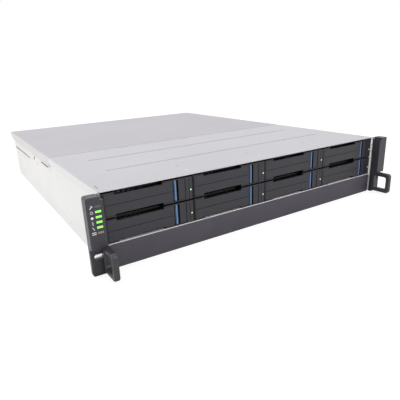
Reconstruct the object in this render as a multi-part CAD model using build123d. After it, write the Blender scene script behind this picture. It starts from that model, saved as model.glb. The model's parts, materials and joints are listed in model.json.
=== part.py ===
from build123d import *
import os

# Storage array: a steel rack enclosure, two units high, with eight hot-swap drive trays behind
# a row of swing levers, and two power modules and two controller modules at the rear.
# Lengths are millimetres. X is to the right seen from the front, +Y runs to the rear, +Z is up.
# The pieces are drawn with y = 0 at the chassis front plane and z = 0 under the base, and are
# written with the origin under the middle of the whole object.

os.makedirs("parts", exist_ok=True)

# Fits and clearances
slide_fit = 0.3           # a sliding piece to what guides it
hinge_fit = 0.05          # pin to hole, on the radius
swing_gap = 0.3           # lever ends to the flanges that hold its pin
panel_gap = 0.2           # fixed trim to the sheet beside it
board_gap = 0.2           # plug to socket, and light guide to board

# Hard drive, the 3.5 inch standard size
drive_width = 101.6
drive_length = 147.0
drive_height = 26.1
drive_corner = 2.0
drive_hole_height = 6.35  # side screw holes above the drive's underside
drive_hole_setbacks = (28.5, 130.1)  # side screw holes from the connector end
lid_rim = 2.5             # step round the edge of the lid
lid_step = 1.2
lid_ring_outer = 41.0     # pressed ring over the platters, radius
lid_ring_inner = 15.0
lid_ring_depth = 0.5
lid_ring_offset = 18.0    # ring centre behind the drive's middle
plug_inset = 14.0         # plug notch from the drive's left side
plug_notch = 6.0

# Drive tray
rail_thickness = 2.2
drive_fit = 0.25          # drive to rail, each side
pan_sheet = 0.6
tray_headroom = 0.1       # above the drive, to the top of the tray front
rail_height = 24.0
rail_end = 1.0            # rail ends short of the drive's rear
bezel_depth = 11.0
bezel_wall = 1.0
bezel_back = 2.0
drive_setback = 49.0      # drive front behind the chassis front plane
tray_gap = 0.9            # between two tray fronts side by side
row_gap = 2.1             # between two tray fronts one above the other
notch_start = 14.5
notch_length = 56.6
notch_depth = 2.8
vents = 10
vent_pitch = 5.6
vent_width = 4.4
vent_margin = 2.6         # vent ends to the top and bottom of the tray front
window_side = 18.0        # floor window to the sides of the drive
window_end = 22.0         # floor window to the ends of the drive
window_corner = 6.0
drive_screw = 2.6         # side screw head, radius

# Tray lever and latch
lever_length = 83.7
lever_inset = 0.55
lever_thickness = 4.0
knuckle_radius = 4.0
pin_radius = 1.0
lever_groove = 0.8
pocket_rib = 3.0          # between the two pockets in the back of the lever
pocket_edge = 2.0
pocket_depth = 1.6
latch_width = 3.6
latch_gap = 1.4
latch_setback = 1.6       # face of the latch behind the chassis front plane
latch_depth = 5.5
latch_ridge = 1.0
latch_travel = 1.8
latch_recess = 0.8
latch_recess_end = 9.5    # plain strip and light guide to the right of the recess
guide_strip = 5.3
groove_width = 0.5
groove_depth = 0.6
edge_line = 0.5           # from the edge groove to the right end of the tray front
led_radius = 1.0
led_height = 11.2
led_depth = 3.0

# Drive cage
columns = 4
rows = 2
divider_sheet = 1.0
runner_gap = 1.7          # tray rail to divider, each side
runner_reach = 3.6
runner_sheet = 0.8
shelf_sheet = 1.0
hat_width = 28.0          # hat rails that carry the shelf
hat_foot = 8.0
hat_setback = 4.0         # hat rail behind the return of the lower panel
cover_flange = 8.0
cover_flange_length = 48.0

# Chassis sheet and covers
wall_sheet = 1.2
bend_radius = 1.6
cover_sheet = 1.2
cover_gap = 2.1           # tray tops to cover
front_edge_round = 1.0    # rolled front edge of the cover
front_lip_depth = 10.0
rear_lip_depth = 14.2
rear_cover_lift = 0.2
bead_width = 5.0
bead_depth = 0.6
bead_margin = 38.0        # bead end to the side of the chassis
bead_places = (81.0, 153.0)
cover_screw = 1.5
cover_screw_head = 2.8
cover_screw_sink = 0.6
cover_screw_setback = 19.5
dimple_radius = 2.0
dimple_depth = 0.4
dimple_setback = 43.5
tongue_width = 14.0
tongue_length = 10.0
tongue_notch = 1.4        # seam notch over each tongue
cover_overhang = 24.0
hem_height = 2.6
rake_end = 3.0            # height left of the raked lip at the rear
wall_flange = 10.0
wall_slots = (            # centre from the front, height, length, width and tilt in degrees
    (256.0, 71.0, 50.0, 2.4, 0.0),
    (459.0, 61.0, 153.0, 2.6, 0.0),
    (337.0, 68.0, 15.0, 3.0, -28.0),
    (448.0, 54.6, 5.0, 2.0, 0.0),
    (495.0, 31.0, 5.0, 2.0, 0.0),
)
wall_hole = 2.2
wall_hole_setback = 314.5
wall_hole_height = 62.0
seam_cut_width = 1.4      # upright cut in the wall just behind the seam of the covers
seam_cut_height = 7.0
seam_cut_setback = 2.5
seam_cut_drop = 19.0

# Lower panel
panel_height = 27.5
panel_thickness = 1.8
panel_return = 14.0

# Ears, handles and indicator group
ear_width = 18.3          # brings the span to the 482.6 mm rack standard
ear_inset = 0.6
cap_depth = 14.5
cap_foot = 28.0
cap_cove = 4.5
cap_wall = 2.0
cap_edge = 1.5
cap_notch = 3.6           # cut from the cap's inner top corner for a fixing screw
ear_corner = 3.0
flange_depth = 6.5
bracket_sheet = 2.0
bracket_leg = 32.0
leg_sheet = 1.2
leg_foot = 2.0            # foot of the leg above the base
bracket_screws = (14.0, 44.0, 68.0)
bracket_screw_head = 3.0
bracket_screw_rise = 0.8
bracket_screw_inset = 9.0
slot_inset = 9.55         # slot centre outside the chassis wall: 465.1 mm between slots
slot_height = 21.4
slot_length = 10.0
slot_width = 5.6
handle_reach = 37.0
handle_width = 6.4
handle_bar = 6.0
handle_post = 4.8
handle_corner = 4.8
handle_window_corner = 3.0
handle_bottom = 2.5
handle_top = 33.5
handle_round = 1.4
light_width = 6.0
light_height = 2.2
light_pitch = 5.5
light_top = 78.5
lights = 5
light_inset = 6.8         # light centre outside the chassis wall
light_proud = 0.1
button_travel = 0.8
button_collar = 0.8       # collar beyond the button's edge
collar_sheet = 0.6
board_sheet = 1.6
board_standoff = 2.0      # board behind the inner face of the cap
board_edge = 0.5          # board to the walls round it
board_head = 2.5          # board above the top light
board_drop = 3.0          # hollow below the button
post_radius = 1.2

# Backplane and its sockets
connector_depth = 7.0
connector_width = 44.0
connector_height = 7.0
connector_fit = 0.6       # socket to the notch in the drive
backplane_sheet = 2.0
backplane_margin = 2.5
backplane_side = 1.0
air_slot_length = 40.0
air_slot_width = 12.0
air_slot_narrow = 9.0     # over a drive's socket
air_slot_offset = 26.0
socket_depth = 12.0
socket_corner = 1.0

# Rear modules
module_plug = 10.5
module_plug_width = 60.0
module_plug_height = 12.0
module_length = 318.0
module_sheet = 1.2
module_gap = 0.4          # module to chassis, partitions and shelf
partition_sheet = 1.2
rear_lever_thickness = 3.0
rear_knuckle = 3.0
rear_lug = 2.0
rear_pin = 1.0
tip_length = 6.0          # finger tip of a rear lever
tip_rise = 2.0
tip_round = 0.9
cup_wall = 1.0            # wall round each rear socket

# Power modules
power_width = 104.0
power_lever_length = 60.0
power_lever_height = 12.0
power_lever_inset = 6.0
power_lever_z = 4.0
inlet_width = 19.8
inlet_height = 27.0
inlet_depth = 17.0
inlet_side = 5.0
inlet_drop = 12.0
inlet_pins = ((-3.5, -7.0), (-3.5, 7.0), (3.5, 0.0))
pin_width = 2.0
pin_height = 4.0
pin_short = 2.0           # pins end short of the inlet's mouth
fan_radius = 31.0
fan_tip_gap = 1.5
fan_inset = 4.0           # fan bore to the side and top of its module
fan_setback = 4.5
fan_blades = 7
fan_hub = 13.0
fan_hub_depth = 15.0
fan_hub_round = 1.5
fan_shaft = 2.0
blade_sheet = 1.4
root_chord = 13.0
root_pitch = 52.0
tip_chord = 20.0
tip_pitch = 28.0
motor_radius = 11.7
mount_sheet = 2.5
shroud_reach = 10.0       # shroud beyond the depth of the hub
grille_hub = 9.0
grille_bar = 1.6
grille_rings = 4

# Controller modules
controller_lever_length = 46.0
controller_lever_height = 9.0
controller_lever_inset = 4.0
controller_lever_z = 3.5
port_places = (           # centre to the right of the middle, width, height and depth
    (-58.0, 14.0, 9.0, 24.0),
    (-40.0, 14.0, 9.0, 24.0),
    (-22.0, 14.0, 9.0, 24.0),
    (-4.0, 14.0, 9.0, 24.0),
    (22.0, 12.0, 11.0, 16.0),
    (40.0, 12.0, 11.0, 16.0),
)
port_z = 25.0
grid_x = 78.0
grid_pitch = 5.0
grid_columns = 6
grid_rows = 3
grid_hole = 1.8

# Sizes that follow from the ones above
column_pitch = drive_width + 2 * (drive_fit + rail_thickness + runner_gap) + divider_sheet
half_inner = columns * column_pitch / 2
half_width = half_inner + wall_sheet
tray_width = column_pitch - tray_gap
tray_height = pan_sheet + drive_height + tray_headroom
row_pitch = tray_height + row_gap
shelf_top = panel_height + panel_gap + shelf_sheet
first_row = shelf_top + slide_fit
rows_top = first_row + rows * row_pitch - row_gap
cover_bottom = rows_top + cover_gap
chassis_height = cover_bottom + cover_sheet
drive_rear = drive_setback + drive_length
backplane_front = drive_rear + connector_depth
backplane_rear = backplane_front + backplane_sheet
module_front = backplane_rear + socket_depth + board_gap + module_plug
wall_depth = module_front + module_length
cover_split = backplane_rear + socket_depth
cover_depth = wall_depth + cover_overhang
front_y = (handle_reach - cover_depth) / 2
cage_front = bezel_depth + slide_fit
divider_lines = [column_pitch * (i - columns / 2) for i in range(columns + 1)]
tray_corners = [(divider_lines[column] + tray_gap / 2, first_row + (rows - 1 - row) * row_pitch)
                for row in range(rows) for column in range(columns)]
notch_middle = notch_start + notch_length / 2
pivot_x = lever_inset + knuckle_radius
pivot_y = knuckle_radius + panel_gap
latch_x = lever_inset + lever_length + latch_gap
latch_channel_end = latch_x + latch_width + latch_travel + slide_fit
recess_end = tray_width - latch_recess_end
drive_screw_places = [drive_rear - setback for setback in drive_hole_setbacks]
drive_screw_z = pan_sheet + drive_hole_height
cover_screw_places = [(line + cover_flange / 2, cover_screw_setback) for line in divider_lines[1:-1]]
ear_inner = half_width + ear_inset
ear_outer = half_width + ear_width
slot_x = half_width + slot_inset
light_x = half_width + light_inset
light_places = [light_top - light_pitch * i for i in range(lights)]
button_z = light_top - light_pitch * lights
light_floor = button_z - light_height / 2 - board_drop
board_front = -cap_depth + cap_wall + board_standoff
module_top = cover_bottom - wall_sheet - 3 * module_gap
partition_x = half_inner - power_width - 2 * module_gap
power_x = partition_x + module_gap + power_width / 2
power_bottom = wall_sheet + module_gap
power_height = module_top - power_bottom
controller_width = 2 * (partition_x - partition_sheet - module_gap)
controller_height = (module_top - wall_sheet - partition_sheet - 3 * module_gap) / 2
controller_bottoms = [wall_sheet + module_gap,
                      wall_sheet + 3 * module_gap + controller_height + partition_sheet]
rear_pivot_y = wall_depth + panel_gap + rear_knuckle
power_lever_x = power_width / 2 - rear_knuckle - power_lever_inset
controller_lever_x = controller_width / 2 - rear_knuckle - controller_lever_inset
inlet_x = power_width / 2 - inlet_width / 2 - inlet_side
inlet_z = power_height - inlet_height / 2 - inlet_drop
fan_bore = fan_radius + fan_tip_gap
fan_x = fan_bore + fan_inset - power_width / 2
fan_z = power_height - fan_bore - fan_inset


def span(x0, x1, y0, y1):
    """Rectangle between two corners, as a sketch."""
    return Pos((x0 + x1) / 2, (y0 + y1) / 2) * Rectangle(x1 - x0, y1 - y0)


def along_x(sketch, start, length):
    """Extrudes a sketch in Y and Z towards +X."""
    return extrude(Plane.YZ.offset(start) * sketch, amount=length)


def along_y(sketch, start, length):
    """Extrudes a sketch in X and Z towards the rear."""
    return extrude(Plane.XZ.offset(-start) * sketch, amount=-length)


def along_z(sketch, start, height):
    """Extrudes a sketch in X and Y upwards."""
    return extrude(Plane.XY.offset(start) * sketch, amount=height)


def repeat(locations, sketch):
    """One sketch of equal shapes, one at each location."""
    return Sketch() + [location * sketch for location in locations]


def both_sides(shape):
    """The piece for the right side and its mirror image."""
    return [shape, mirror(shape, about=Plane.YZ)]


def save(name, *solids):
    """Writes one node, moved so that the origin is under the middle of the object."""
    placed = [Pos(0, front_y, 0) * solid for solid in solids]
    export_step(placed[0] if len(placed) == 1 else Compound(children=placed), f"parts/{name}.step")


# Drive trays. Each is drawn with x = 0 at its left end and z = 0 at its bottom.

def tray_front():
    """Shallow frame that holds the lever pin, the latch and the light guide."""
    back = bezel_depth - bezel_back
    lever_bay = span(-1, latch_x - latch_gap / 2, -1, back)
    channel = span(latch_x - latch_gap, latch_channel_end, -1, latch_depth + slide_fit)
    recess = span(latch_channel_end - 1, recess_end, -1, latch_recess)
    frame = along_z(span(0, tray_width, 0, bezel_depth), 0, tray_height)
    frame -= along_z(lever_bay + channel + recess, bezel_wall, tray_height - 2 * bezel_wall)
    notch = span(notch_start, notch_start + notch_length, -1, back)
    frame -= along_z(notch, -1, 1 + notch_depth)
    frame -= along_z(notch, tray_height - notch_depth, 1 + notch_depth)
    vent = Rectangle(vent_width, tray_height - 2 * vent_margin)
    vent_row = repeat(GridLocations(vent_pitch, 1, vents, 1), vent)
    frame -= along_y(Pos(notch_middle, tray_height / 2) * vent_row, back - 1, bezel_back + 2)
    strip = tray_width - guide_strip
    edge = tray_width - edge_line - groove_width
    groove = span(strip, strip + groove_width, -1, groove_depth)
    groove += span(edge, edge + groove_width, -1, groove_depth)
    frame -= along_z(groove, -1, tray_height + 2)
    led = Pos(strip + guide_strip / 2, led_height) * Circle(led_radius)
    frame -= along_y(led, -1, 1 + led_depth)
    return frame - along_z(Pos(pivot_x, pivot_y) * Circle(pin_radius + hinge_fit), -1, tray_height + 2)


def tray_pan():
    """Open pan behind the front: a floor and two rails that clasp the drive."""
    half = drive_width / 2 + drive_fit
    outer = half + rail_thickness
    middle = tray_width / 2
    channel = span(-outer, outer, 0, rail_height) - span(-half, half, pan_sheet, rail_height + 1)
    pan = along_y(Pos(middle, 0) * channel, bezel_depth, drive_rear - rail_end - bezel_depth)
    window = RectangleRounded(drive_width - 2 * window_side, drive_length - 2 * window_end,
                              window_corner)
    pan -= along_z(Pos(middle, drive_setback + drive_length / 2) * window, -1, pan_sheet + 2)
    for y in drive_screw_places:
        hole = Pos(y, drive_screw_z) * Circle(drive_screw + hinge_fit)
        pan -= along_x(hole, middle - outer - 1, 2 * outer + 2)
    return pan


def tray_fasteners():
    """Lever pin and the four side screws, separate solids on the tray."""
    pin = along_z(Pos(pivot_x, pivot_y) * Circle(pin_radius), panel_gap, tray_height - 2 * panel_gap)
    half = drive_width / 2 + drive_fit
    screws = []
    for y in drive_screw_places:
        head = Pos(y, drive_screw_z) * Circle(drive_screw)
        screws.append(along_x(head, tray_width / 2 + half, rail_thickness))
        screws.append(along_x(head, tray_width / 2 - half - rail_thickness, rail_thickness))
    return [pin] + screws


def lever_bar(length, height, thickness, radius, hole):
    """Lever lying along +X from its pin at the origin, with its outer face towards -Y."""
    bar = span(0, length - radius, -radius, thickness - radius)
    bar = fillet(bar.vertices().sort_by(Axis.X)[-2:], thickness / 4)
    lever = along_z(bar + Circle(radius), 0, height)
    return lever - along_z(Circle(hole), -1, height + 2)


def tray_lever():
    """Full-height lever with a finger notch at top and bottom and a line along its face."""
    height = tray_height - 2 * (bezel_wall + swing_gap)
    lever = lever_bar(lever_length, height, lever_thickness, knuckle_radius, pin_radius + hinge_fit)
    lever = Pos(pivot_x, pivot_y, bezel_wall + swing_gap) * lever
    notch = span(notch_start, notch_start + notch_length, -1, bezel_depth)
    lever -= along_z(notch, -1, 1 + notch_depth)
    lever -= along_z(notch, tray_height - notch_depth, 1 + notch_depth)
    middle = tray_height / 2
    line = span(panel_gap - 1, panel_gap + lever_groove, middle - lever_groove / 2,
                middle + lever_groove / 2)
    lever -= along_x(line, lever_inset - 1, lever_length + 2)
    pocket = Rectangle(notch_length / 2 - pocket_rib,
                       tray_height - 2 * (notch_depth + pocket_edge))
    pockets = repeat(GridLocations(notch_length / 2, 1, 2, 1), pocket)
    lever_back = panel_gap + lever_thickness
    return lever - along_y(Pos(notch_middle, middle) * pockets, lever_back - pocket_depth,
                           pocket_depth + 1)


def tray_latch():
    """Release latch: a ridged strip that slides sideways against its spring."""
    strip = span(latch_x, latch_x + latch_width, latch_setback, latch_depth)
    strip += Pos(latch_x + latch_width / 2, latch_setback) * Circle(latch_ridge)
    height = tray_height - 2 * (bezel_wall + swing_gap)
    return along_z(strip, bezel_wall + swing_gap, height)


def hard_drive():
    """Hard drive: cast base, stepped lid with a pressed ring, and its plug notch."""
    plan = Pos(tray_width / 2, drive_setback + drive_length / 2)
    lid = pan_sheet + drive_height
    outline = RectangleRounded(drive_width, drive_length, drive_corner)
    inside = RectangleRounded(drive_width - 2 * lid_rim, drive_length - 2 * lid_rim, drive_corner)
    body = along_z(plan * outline, pan_sheet, drive_height)
    body -= along_z(plan * (outline - inside), lid - lid_step, 1 + lid_step)
    ring = Pos(0, lid_ring_offset) * (Circle(lid_ring_outer) - Circle(lid_ring_inner))
    body -= along_z(plan * ring, lid - lid_ring_depth, 1 + lid_ring_depth)
    plug_x = tray_width / 2 - drive_width / 2 + plug_inset
    plug = span(plug_x, plug_x + connector_width, drive_rear - plug_notch, drive_rear + 1)
    return body - along_z(plug, pan_sheet - 1, 1 + connector_height)


tray_pieces = {
    "drive_tray": [tray_front(), tray_pan()] + tray_fasteners(),
    "hard_drive": [hard_drive()],
    "tray_lever": [tray_lever()],
    "tray_latch": [tray_latch()],
}
for number, (left, bottom) in enumerate(tray_corners, start=1):
    for name, solids in tray_pieces.items():
        save(f"{name}_{number}", *[Pos(left, 0, bottom) * solid for solid in solids])


# Drive cage and backplane

def divider(line):
    """Upright between two columns, with a runner on each open side and a flange for the cover."""
    left = max(line - divider_sheet / 2, -half_inner)
    right = min(line + divider_sheet / 2, half_inner)
    depth = backplane_front - cage_front
    plate = along_y(span(left, right, shelf_top, rows_top), cage_front, depth)
    for row in range(1, rows):
        top = first_row + row * row_pitch - slide_fit
        ends = (max(left - runner_reach, -half_inner), min(right + runner_reach, half_inner))
        plate += along_y(span(*ends, top - runner_sheet, top), cage_front, depth)
    if abs(line) < half_inner - divider_sheet:
        flange = span(left, left + cover_flange, cover_bottom - divider_sheet, cover_bottom)
        web = span(left, right, rows_top - divider_sheet, cover_bottom)
        plate += along_y(flange + web, cage_front, cover_flange_length)
        hole = Pos(line + cover_flange / 2, cover_screw_setback) * Circle(cover_screw + hinge_fit)
        plate -= along_z(hole, cover_bottom - divider_sheet - 1, divider_sheet + 2)
    return plate


def cage_shelf():
    """Shelf under the drives and the three hat rails that carry it, separate solids."""
    half = hat_width / 2
    crown = shelf_top - shelf_sheet
    rail = span(-half, half, wall_sheet, crown)
    rail -= span(-half + divider_sheet, half - divider_sheet, wall_sheet - 1, crown - divider_sheet)
    rail += span(-half - hat_foot, -half + divider_sheet, wall_sheet, wall_sheet + divider_sheet)
    rail += span(half - divider_sheet, half + hat_foot, wall_sheet, wall_sheet + divider_sheet)
    shelf = along_y(span(-half_inner, half_inner, crown, shelf_top), -panel_gap,
                    backplane_front + panel_gap)
    start = panel_return + hat_setback
    return [shelf] + [along_y(Pos(line, 0) * rail, start, backplane_front - start)
                      for line in divider_lines[1:-1]]


def backplane():
    """Board across the chassis, with an air slot beside and over each drive's socket."""
    half = half_inner - backplane_side
    board = span(-half, half, wall_sheet + backplane_margin, module_top - backplane_margin / 2)
    for left, bottom in tray_corners:
        middle = left + tray_width / 2
        over_socket = bottom + connector_height + (tray_height - connector_height + row_gap) / 2
        board -= Pos(middle + air_slot_offset, bottom + tray_height / 2) * SlotOverall(
            air_slot_length, air_slot_width)
        board -= Pos(middle - air_slot_offset, over_socket) * SlotOverall(
            air_slot_length, air_slot_narrow)
    return along_y(board, backplane_front, backplane_sheet)


def drive_sockets():
    """One socket for each drive, ending just short of its plug notch."""
    solids = []
    for left, bottom in tray_corners:
        x0 = left + tray_width / 2 - drive_width / 2 + plug_inset
        body = span(x0 + connector_fit, x0 + connector_width - connector_fit,
                    bottom + pan_sheet + connector_fit,
                    bottom + pan_sheet + connector_height - connector_fit)
        solids.append(along_y(body, drive_rear + board_gap, connector_depth - board_gap))
    return solids


def module_sockets():
    """Sockets on the rear of the backplane, one for each slide-in module."""
    places = [(side * power_x, power_bottom + power_height / 2) for side in (-1, 1)]
    places += [(0, bottom + controller_height / 2) for bottom in controller_bottoms]
    body = RectangleRounded(module_plug_width, module_plug_height, socket_corner)
    return [along_y(Pos(x, z) * body, backplane_rear, socket_depth) for x, z in places]


save("drive_cage", *cage_shelf(), *[divider(line) for line in divider_lines])
save("backplane", backplane())
save("backplane_sockets", *drive_sockets(), *module_sockets())


# Chassis, lower panel and covers

def wall_openings():
    """Slots and holes in each side wall for rack rails and the rear cover, as a YZ sketch."""
    cuts = Pos(wall_hole_setback, wall_hole_height) * Circle(wall_hole)
    cuts += Pos(cover_split + seam_cut_setback, chassis_height - seam_cut_drop) * Rectangle(
        seam_cut_width, seam_cut_height)
    for y, z, length, width, tilt in wall_slots:
        cuts += Pos(y, z) * Rot(0, 0, tilt) * SlotOverall(length, width)
    return cuts


def chassis_tub():
    """Base and side walls folded from one sheet, with flanges over the module bays."""
    outer = span(-half_width, half_width, 0, cover_bottom)
    outer = fillet(outer.vertices().sort_by(Axis.Y)[:2], bend_radius)
    inner = span(-half_inner, half_inner, wall_sheet, cover_bottom + 1)
    tub = along_y(outer - inner, 0, wall_depth)
    flange = span(half_inner - wall_flange, half_inner + wall_sheet / 2,
                  cover_bottom - wall_sheet, cover_bottom)
    for piece in both_sides(along_y(flange, module_front, module_length)):
        tub += piece
    return tub - along_x(wall_openings(), -half_width - 1, 2 * half_width + 2)


def module_frame():
    """Uprights between power and controller modules, with the shelf between the controllers."""
    shelf_z = controller_bottoms[1] - module_gap - partition_sheet
    frame = span(-partition_x, partition_x, shelf_z, shelf_z + partition_sheet)
    frame += span(partition_x - partition_sheet, partition_x, wall_sheet, module_top)
    frame += span(-partition_x, -partition_x + partition_sheet, wall_sheet, module_top)
    return along_y(frame, module_front, module_length)


def lower_panel():
    """Plain moulded panel under the trays, folded back at its top and bottom edges."""
    outline = span(-panel_thickness - panel_gap, panel_return, panel_gap, panel_height)
    inner = span(-panel_gap, panel_return + 1, panel_gap + 2 * panel_thickness,
                 panel_height - panel_thickness)
    outline -= inner + span(-panel_gap, panel_return + 1, -1, wall_sheet + panel_gap)
    front = outline.vertices().sort_by(Axis.X)[:2]
    outline = fillet(front, panel_thickness / 3)
    half = half_inner - runner_gap
    return along_x(outline, -half, 2 * half)


def cover_channel(lip, lift):
    """Cover section in X and Z: a flat top with a lip down the outside of each wall."""
    half = half_width + lift + cover_sheet
    bottom = chassis_height + lift - lip
    outer = span(-half, half, bottom, chassis_height + lift)
    outer = fillet(outer.vertices().sort_by(Axis.Y)[-2:], bend_radius)
    return outer - span(-half + cover_sheet, half - cover_sheet, bottom - 1, cover_bottom + lift)


def front_cover():
    """Fixed cover over the drive cage, with a rolled front edge and two long pressed beads."""
    cover = along_y(cover_channel(front_lip_depth, 0), panel_gap, cover_split - panel_gap)
    front_edges = cover.faces().sort_by(Axis.Y)[0].edges().filter_by(Axis.X)
    cover = fillet(front_edges.sort_by(Axis.Z)[-1], front_edge_round)
    length = 2 * (half_width - bead_margin)
    for y in bead_places:
        bead = Pos(0, y) * SlotOverall(length, bead_width)
        pressed = Pos(0, y) * SlotOverall(length - cover_sheet, bead_width - cover_sheet)
        cover -= along_z(bead, chassis_height - bead_depth, 1)
        cover += along_z(pressed, cover_bottom - bead_depth, bead_depth)
    notch = Rectangle(tongue_width, 2 * tongue_notch)
    for x, y in cover_screw_places:
        cover -= along_z(Pos(x, y) * Circle(cover_screw_head + hinge_fit),
                         chassis_height - cover_screw_sink, 1)
        cover -= along_z(Pos(x, y) * Circle(cover_screw + hinge_fit), cover_bottom - 1,
                         cover_sheet + 2)
        cover -= along_z(Pos(x, dimple_setback) * Circle(dimple_radius),
                         chassis_height - dimple_depth, 1)
        cover -= along_z(Pos(x, cover_split) * notch, cover_bottom - 1, cover_sheet + 2)
    return cover


def rear_cover():
    """Sliding cover over the modules: tongues at the front, raked lips and a hem at the rear."""
    start = cover_split + panel_gap
    top = chassis_height + rear_cover_lift
    cover = along_y(cover_channel(rear_lip_depth, rear_cover_lift), start, cover_depth - start)
    foot = top - rear_lip_depth
    rake = make_face(Polyline((wall_depth, foot - 1), (wall_depth, foot),
                              (cover_depth, top - rake_end), (cover_depth + 1, top - rake_end),
                              (cover_depth + 1, foot - 1), (wall_depth, foot - 1)))
    cover -= along_x(rake, -2 * half_width, 4 * half_width)
    hem = span(-half_width, half_width, top - hem_height, cover_bottom + rear_cover_lift)
    cover += along_y(hem, cover_depth - cover_sheet, cover_sheet)
    tongue_top = cover_bottom - panel_gap
    tongue = span(-tongue_width / 2, tongue_width / 2, start - tongue_length, start + cover_sheet)
    step = span(-tongue_width / 2, tongue_width / 2, start, start + cover_sheet)
    for x, y in cover_screw_places:
        cover += along_z(Pos(x, 0) * tongue, tongue_top - cover_sheet, cover_sheet)
        cover += along_z(Pos(x, 0) * step, tongue_top - cover_sheet, top - tongue_top)
    return cover


def chassis_screws():
    """Countersunk cover screws and the screws that hold the ear brackets."""
    solids = []
    head_z = chassis_height - cover_screw_sink
    shank_foot = cover_bottom - divider_sheet - panel_gap
    for x, y in cover_screw_places:
        head = along_z(Pos(x, y) * Circle(cover_screw_head), head_z, cover_screw_sink - hinge_fit)
        shank = along_z(Pos(x, y) * Circle(cover_screw), shank_foot, head_z - shank_foot)
        solids.append(head + shank)
    for z in bracket_screws:
        place = Pos(bracket_leg - bracket_screw_inset, z)
        head = along_x(place * Circle(bracket_screw_head), half_width + leg_sheet,
                       bracket_screw_rise)
        solids += both_sides(head)
    return solids


save("chassis_tub", chassis_tub())
save("module_frame", module_frame())
save("lower_panel", lower_panel())
save("front_cover", front_cover())
save("rear_cover", rear_cover())
save("chassis_screws", *chassis_screws())


# Ears, handles and the indicator group

def ear_outline(inset):
    """Front outline of the ear in X and Z, rounded at its two outer corners."""
    shape = span(ear_inner, ear_outer - inset, inset, chassis_height - inset)
    return fillet(shape.vertices().sort_by(Axis.X)[-2:], ear_corner)


def rack_slot():
    """Slot for the rack screw, right through the ear."""
    slot = Pos(slot_x, slot_height) * SlotOverall(slot_length, slot_width)
    return along_y(slot, -cap_depth - 1, cap_depth + 2)


def ear_cap():
    """Right ear moulding: a deep cap that flows through a cove into the slotted flange."""
    rear = -bracket_sheet
    cove = cap_foot + cap_cove
    outline = [Line((rear, chassis_height), (-cap_depth, chassis_height)),
               Line((-cap_depth, chassis_height), (-cap_depth, cove)),
               Line((-cap_depth, cove), (-flange_depth - cap_cove, cove)),
               CenterArc((-flange_depth - cap_cove, cap_foot), cap_cove, 0, 90),
               Line((-flange_depth, cap_foot), (-flange_depth, 0)),
               Line((-flange_depth, 0), (rear, 0)),
               Line((rear, 0), (rear, chassis_height))]
    cap = along_x(make_face(outline), ear_inner, ear_outer - ear_inner)
    upright = cap.edges().filter_by(Axis.Z).sort_by(lambda edge: edge.center().X - edge.center().Y)
    cap = fillet(upright[-1], cap_edge)
    cap &= along_y(ear_outline(0), -cap_depth - 1, cap_depth + 1)
    handle_seat = span(-cap_depth - 1, -flange_depth, cap_foot - 1, handle_top + panel_gap)
    handle_side = half_width - ear_inset + handle_width + panel_gap
    cap -= along_x(handle_seat, ear_inner - 1, handle_side - ear_inner + 1)
    corner = span(ear_inner - 1, ear_inner + cap_notch, chassis_height - cap_notch,
                  chassis_height + 1)
    return cap - along_y(corner, -cap_depth - 1, cap_depth + 1) - rack_slot()


def left_ear_cap():
    """Left ear moulding, hollow behind its windows for the indicator board."""
    hollow = span(ear_inner + cap_wall, ear_outer - cap_wall, light_floor,
                  chassis_height - cap_notch - cap_wall)
    cap = ear_cap() - along_y(hollow, -cap_depth + cap_wall, cap_depth)
    window = Rectangle(light_width + 2 * hinge_fit, light_height + 2 * hinge_fit)
    for z in light_places + [button_z]:
        cap -= along_y(Pos(light_x, z) * window, -cap_depth - 1, cap_wall + 2)
    return mirror(cap, about=Plane.YZ)


def ear_bracket():
    """Right ear bracket: slotted flange with a leg folded back along the chassis wall."""
    leg_top = chassis_height - front_lip_depth - 1
    cover_room = span(ear_inner - 1, half_width + cover_sheet + panel_gap, leg_top,
                      chassis_height + 1)
    flange = along_y(ear_outline(panel_gap) - cover_room, -bracket_sheet, bracket_sheet)
    leg = span(half_width, half_width + leg_sheet, -bracket_sheet, bracket_leg)
    leg += span(half_width, ear_inner + 1, -bracket_sheet, 0)
    return flange + along_z(leg, leg_foot, leg_top - leg_foot) - rack_slot()


def front_handle():
    """Right handle: a moulded square ring that stands forward at the foot of the ear."""
    front, rear = -handle_reach, -flange_depth
    ring = span(front, rear, handle_bottom, handle_top)
    ring = fillet(ring.vertices().sort_by(Axis.X)[:2], handle_corner)
    window = span(front + handle_bar, rear - handle_post, handle_bottom + handle_bar,
                  handle_top - handle_bar)
    window = fillet(window.vertices(), handle_window_corner)
    handle = along_x(ring - window, half_width - ear_inset, handle_width)
    return fillet(handle.faces().filter_by(Axis.X).edges(), handle_round)


def indicator_board():
    """Small board inside the left ear, on two posts, behind the lights and the button."""
    top = light_top + light_height / 2 + board_head
    foot = light_floor + board_edge
    outer = ear_outer - cap_wall - board_edge
    board = along_y(span(ear_inner + cap_wall + board_edge, outer, foot, top), board_front,
                    board_sheet)
    for z in (foot + 2 * post_radius, top - 2 * post_radius):
        board += along_y(Pos(outer - 2 * post_radius, z) * Circle(post_radius),
                         -cap_depth + cap_wall, board_standoff + board_sheet / 2)
    return mirror(board, about=Plane.YZ)


def light_guides():
    """Clear bars that carry the light from the board to the front of the ear."""
    start = -cap_depth - light_proud
    bar = along_y(Pos(light_x, 0) * Rectangle(light_width, light_height), start,
                  board_front - board_gap - start)
    return [mirror(Pos(0, 0, z) * bar, about=Plane.YZ) for z in light_places]


def mute_button():
    """Push button under the lights, with a collar behind the moulding's wall."""
    start = -cap_depth - button_travel
    rear = board_front - button_travel - board_gap
    button = along_y(Rectangle(light_width, light_height), start, rear - start)
    collar = Rectangle(light_width + 2 * button_collar, light_height + 2 * button_collar)
    button += along_y(collar, -cap_depth + cap_wall + hinge_fit, collar_sheet)
    return mirror(Pos(light_x, 0, button_z) * button, about=Plane.YZ)


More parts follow.
